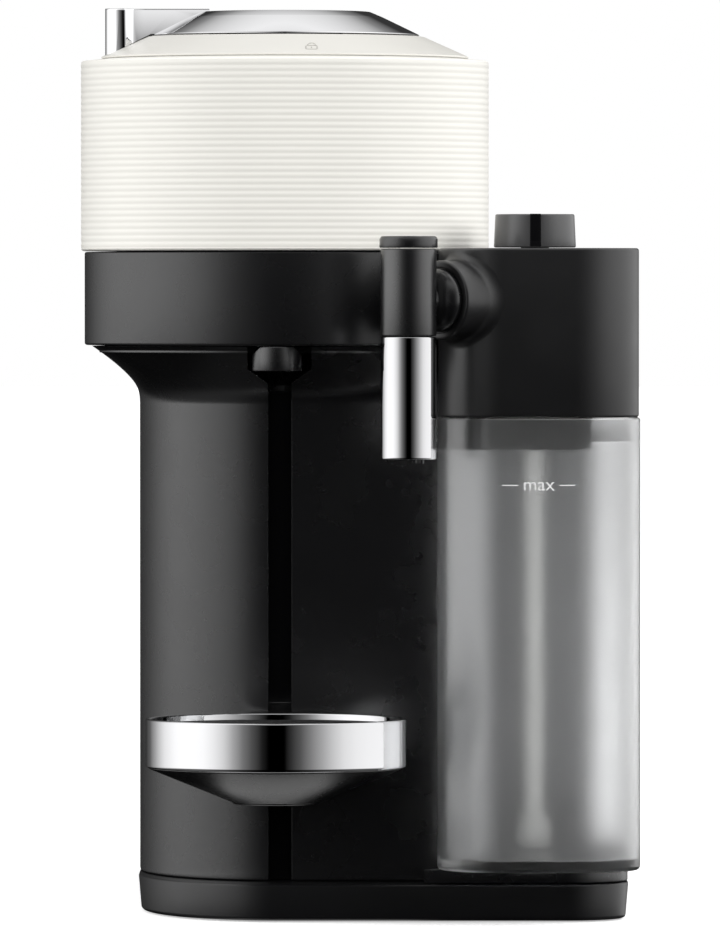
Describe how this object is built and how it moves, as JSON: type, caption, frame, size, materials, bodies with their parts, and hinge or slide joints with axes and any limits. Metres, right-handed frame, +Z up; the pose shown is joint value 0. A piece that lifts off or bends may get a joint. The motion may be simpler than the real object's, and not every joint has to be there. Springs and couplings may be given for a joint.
{
  "type": "pod coffee machine",
  "caption": "Countertop pod coffee machine: round tilting brew head on a slim column, sliding cup support, and a milk carafe with frothing lid.",
  "frame": {"origin": "centre of the footprint's bounding box, on the worktop", "axes": "+Z up, -Y towards the user (front), +X to the user's right, where the milk carafe is"},
  "size_m": [0.1994, 0.4294, 0.325],
  "materials": {
    "cream_plastic": "satin moulded plastic, ribbed on the drum",
    "black_plastic": "satin black moulded plastic",
    "soft_black_plastic": "matt black",
    "gloss_black_plastic": "piano black",
    "polished_chrome": "polished",
    "steel": "brushed",
    "cast_aluminium": "as cast",
    "foot_rubber": "matt",
    "silicone": "translucent milky",
    "frosted_plastic": "frosted translucent",
    "clear_plastic": "clear smoked",
    "circuit_board": "solder mask"
  },
  "bodies": {
    "machine": {"base_plate": "black_plastic", "foot_front_left": "foot_rubber", "foot_front_right": "foot_rubber", "foot_back_left": "foot_rubber", "foot_back_right": "foot_rubber", "column_shell": "black_plastic", "guide_rail": "gloss_black_plastic", "brew_collar": "black_plastic", "coffee_collector": "gloss_black_plastic", "coffee_outlet": "gloss_black_plastic", "spin_motor": "steel", "rotor_bearing": "steel", "rear_housing": "black_plastic", "rear_deck": "black_plastic", "hinge_pin": "steel", "tank_socket": "black_plastic", "water_pump": "steel", "thermoblock": "cast_aluminium", "flow_meter": "black_plastic", "control_board": "circuit_board", "power_inlet": "black_plastic", "water_hose": "silicone", "brew_hose": "silicone", "steam_hose": "silicone", "milk_dock": "black_plastic", "steam_nozzle": "steel", "steam_seal": "silicone"},
    "capsule_rotor": {"drive_shaft": "steel", "capsule_holder": "gloss_black_plastic"},
    "head": {"drum_shell": "cream_plastic", "dome_ring": "cream_plastic", "head_base": "black_plastic", "head_seal": "silicone", "pierce_plate": "steel", "head_hinge": "black_plastic", "control_panel": "gloss_black_plastic"},
    "lock_ring": {"lock_lever": "polished_chrome"},
    "coffee_button": {"coffee_button": "polished_chrome"},
    "recipe_button_1": {"recipe_button_1": "polished_chrome"},
    "recipe_button_2": {"recipe_button_2": "polished_chrome"},
    "cup_support": {"support_ring": "polished_chrome", "drip_bowl": "black_plastic", "support_bracket": "black_plastic"},
    "drip_grid": {"drip_grid": "soft_black_plastic"},
    "milk_jug": {"milk_container": "frosted_plastic"},
    "milk_lid": {"lid_shell": "black_plastic", "lid_plug": "black_plastic", "plug_seal": "silicone", "suction_tube": "silicone", "froth_mixer": "black_plastic"},
    "froth_dial": {"froth_dial": "soft_black_plastic"},
    "milk_spout": {"spout_tube": "black_plastic", "spout_cap": "black_plastic", "spout_sleeve": "polished_chrome", "spout_nozzle": "black_plastic", "spout_pivot": "black_plastic"},
    "water_tank": {"water_tank": "clear_plastic", "tank_valve": "black_plastic"},
    "tank_lid": {"tank_lid": "black_plastic"},
    "capsule_bin": {"capsule_bin": "black_plastic"}
  },
  "joints": [
    {"name": "head_tilt", "type": "hinge", "parent": "machine", "child": "head", "pos_m": [-0.0264, -0.00032, 0.242], "axis": [-1, 0, 0], "range_deg": [0, 50]},
    {"name": "lever_turn", "type": "hinge", "parent": "head", "child": "lock_ring", "pos_m": [-0.0264, -0.08032, 0.32], "axis": [0, 0, 1], "range_deg": [0, 45]},
    {"name": "coffee_button_press", "type": "slide", "parent": "head", "child": "coffee_button", "axis": [0, 0, -1], "range_m": [0, 0.0015], "stiffness_N_per_m": 400, "springref_m": -0.0005},
    {"name": "recipe_button_1_press", "type": "slide", "parent": "head", "child": "recipe_button_1", "axis": [0, 0, -1], "range_m": [0, 0.001], "stiffness_N_per_m": 400, "springref_m": -0.0005},
    {"name": "recipe_button_2_press", "type": "slide", "parent": "head", "child": "recipe_button_2", "axis": [0, 0, -1], "range_m": [0, 0.001], "stiffness_N_per_m": 400, "springref_m": -0.0005},
    {"name": "capsule_spin", "type": "hinge", "parent": "machine", "child": "capsule_rotor", "pos_m": [-0.0264, -0.08032, 0.215], "axis": [0, 0, 1], "continuous": true},
    {"name": "cup_support_height", "type": "slide", "parent": "machine", "child": "cup_support", "axis": [0, 0, 1], "range_m": [-0.03, 0.06]},
    {"name": "grid_lift", "type": "slide", "parent": "cup_support", "child": "drip_grid", "axis": [0, 0, 1], "range_m": [0, 0.02]},
    {"name": "carafe_slide", "type": "slide", "parent": "machine", "child": "milk_jug", "axis": [0, -1, 0], "range_m": [0, 0.15]},
    {"name": "lid_lift", "type": "slide", "parent": "milk_jug", "child": "milk_lid", "axis": [0, 0, 1], "range_m": [0, 0.16]},
    {"name": "froth_turn", "type": "hinge", "parent": "milk_lid", "child": "froth_dial", "pos_m": [0.0626, -0.13182, 0.245], "axis": [0, 0, 1], "range_deg": [-90, 90]},
    {"name": "spout_swing", "type": "hinge", "parent": "milk_lid", "child": "milk_spout", "pos_m": [0.0176, -0.17783, 0.2205], "axis": [-0.7071, -0.7071, 0], "range_deg": [-45, 15]},
    {"name": "tank_lift", "type": "slide", "parent": "machine", "child": "water_tank", "axis": [0, 0, 1], "range_m": [0, 0.22]},
    {"name": "tank_lid_lift", "type": "slide", "parent": "water_tank", "child": "tank_lid", "axis": [0, 0, 1], "range_m": [0, 0.04]},
    {"name": "bin_lift", "type": "slide", "parent": "machine", "child": "capsule_bin", "axis": [0, 0, 1], "range_m": [0, 0.19]}
  ]
}
